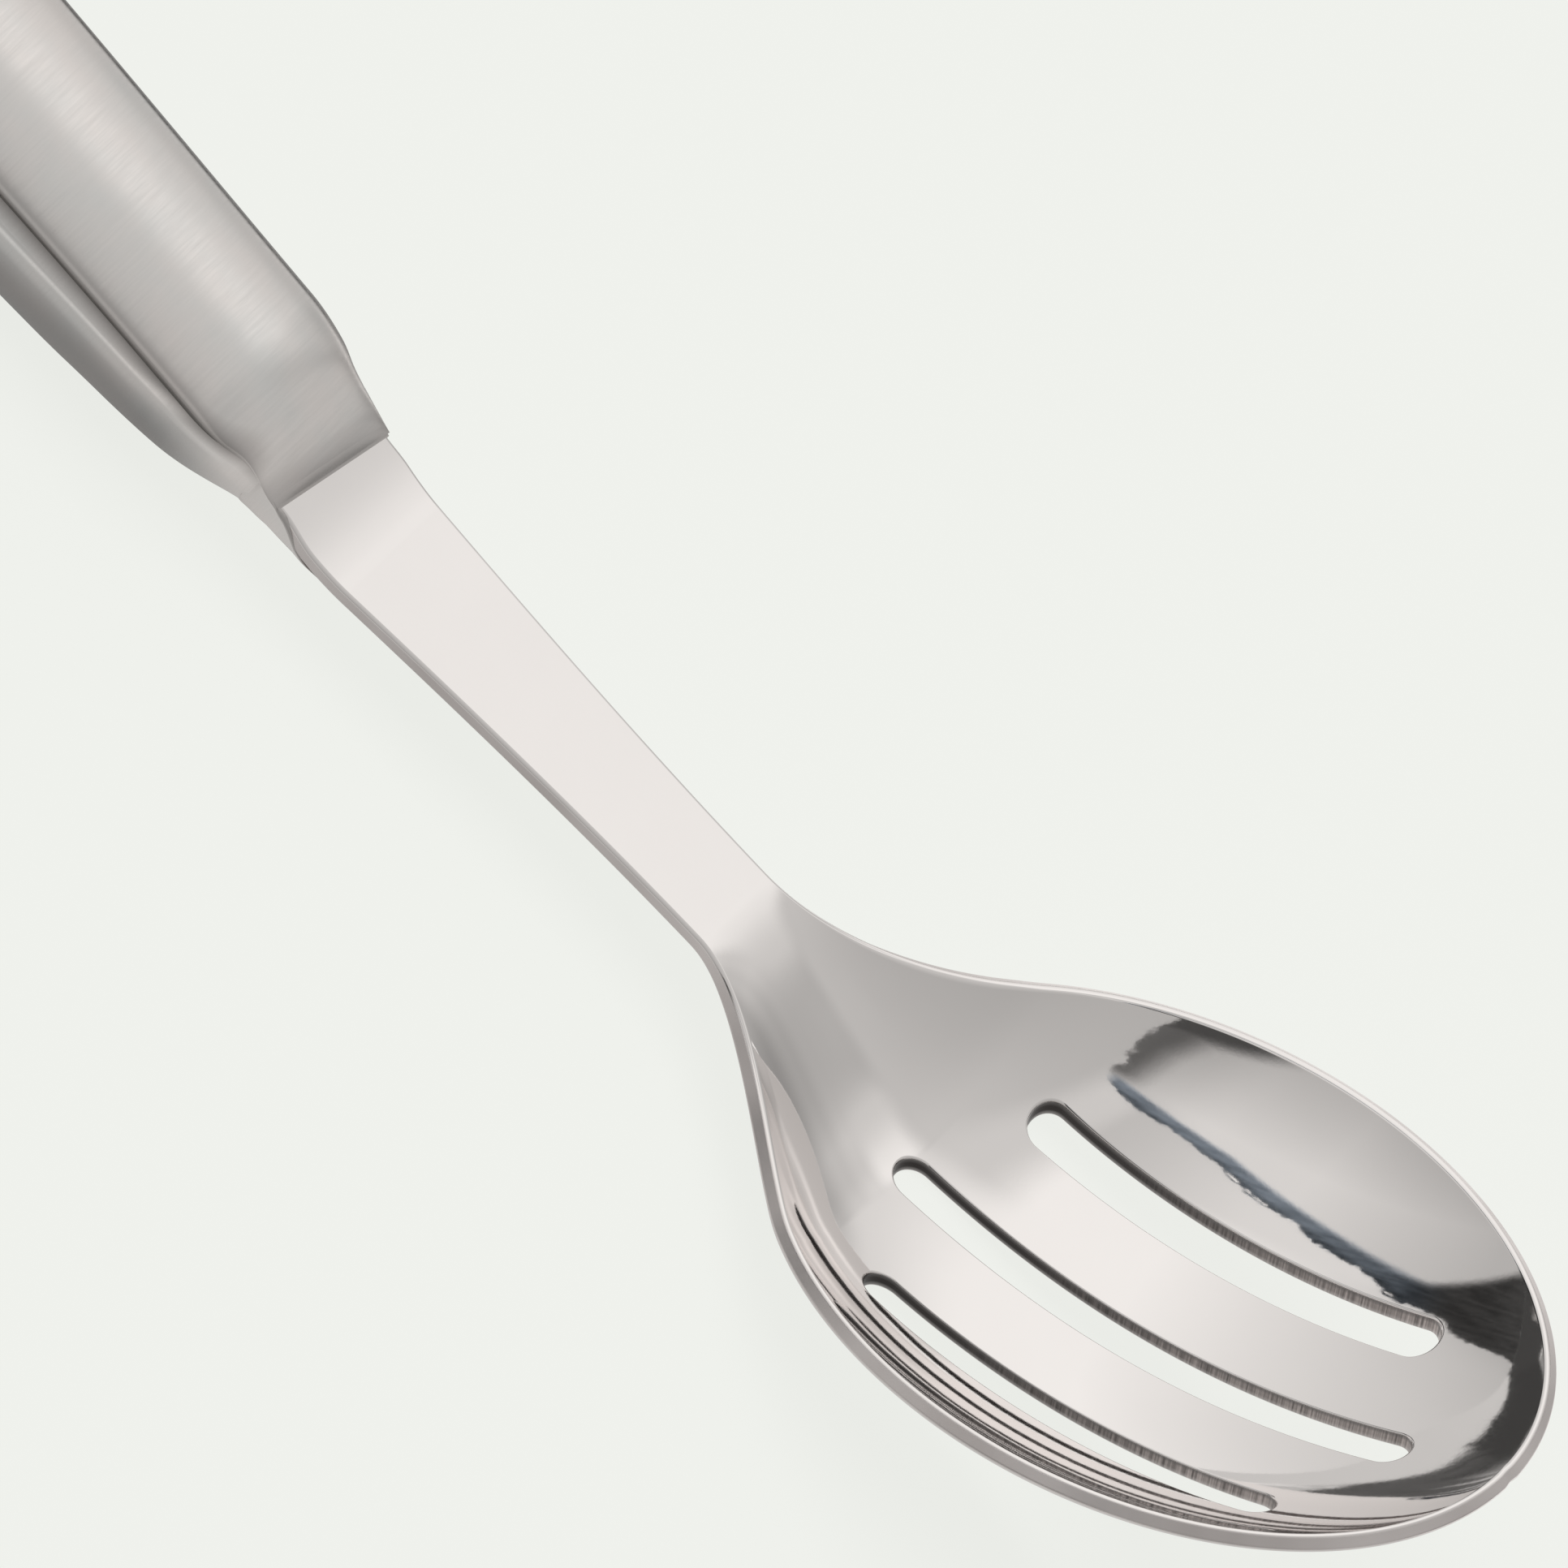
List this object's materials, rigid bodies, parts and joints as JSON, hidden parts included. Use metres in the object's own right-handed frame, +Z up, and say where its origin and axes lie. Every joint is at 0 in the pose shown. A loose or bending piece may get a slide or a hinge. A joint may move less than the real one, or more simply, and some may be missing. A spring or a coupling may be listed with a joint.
{
  "type": "slotted serving spoon",
  "caption": "Slotted serving spoon with an oval polished bowl, a flat neck and a hollow brushed handle.",
  "frame": {"origin": "midway along the spoon and across it, on the table that it rests on", "axes": "+X towards the bowl's tip, +Y across the spoon, +Z up from the table, with the bowl's hollow side up"},
  "size_m": [0.3, 0.0656, 0.038],
  "materials": {
    "polished_steel": "mirror-polished stainless steel, with fine scratches",
    "brushed_steel": "satin stainless steel, brushed across the handle",
    "weld_steel": "ground-back stainless weld, darker in its groove"
  },
  "bodies": {
    "root": {"bowl_and_neck": "polished_steel", "handle_top_shell": "brushed_steel", "handle_bottom_shell": "brushed_steel", "seam_weld": "weld_steel", "nose_weld": "weld_steel", "hanging_sleeve": "polished_steel"}
  },
  "joints": []
}
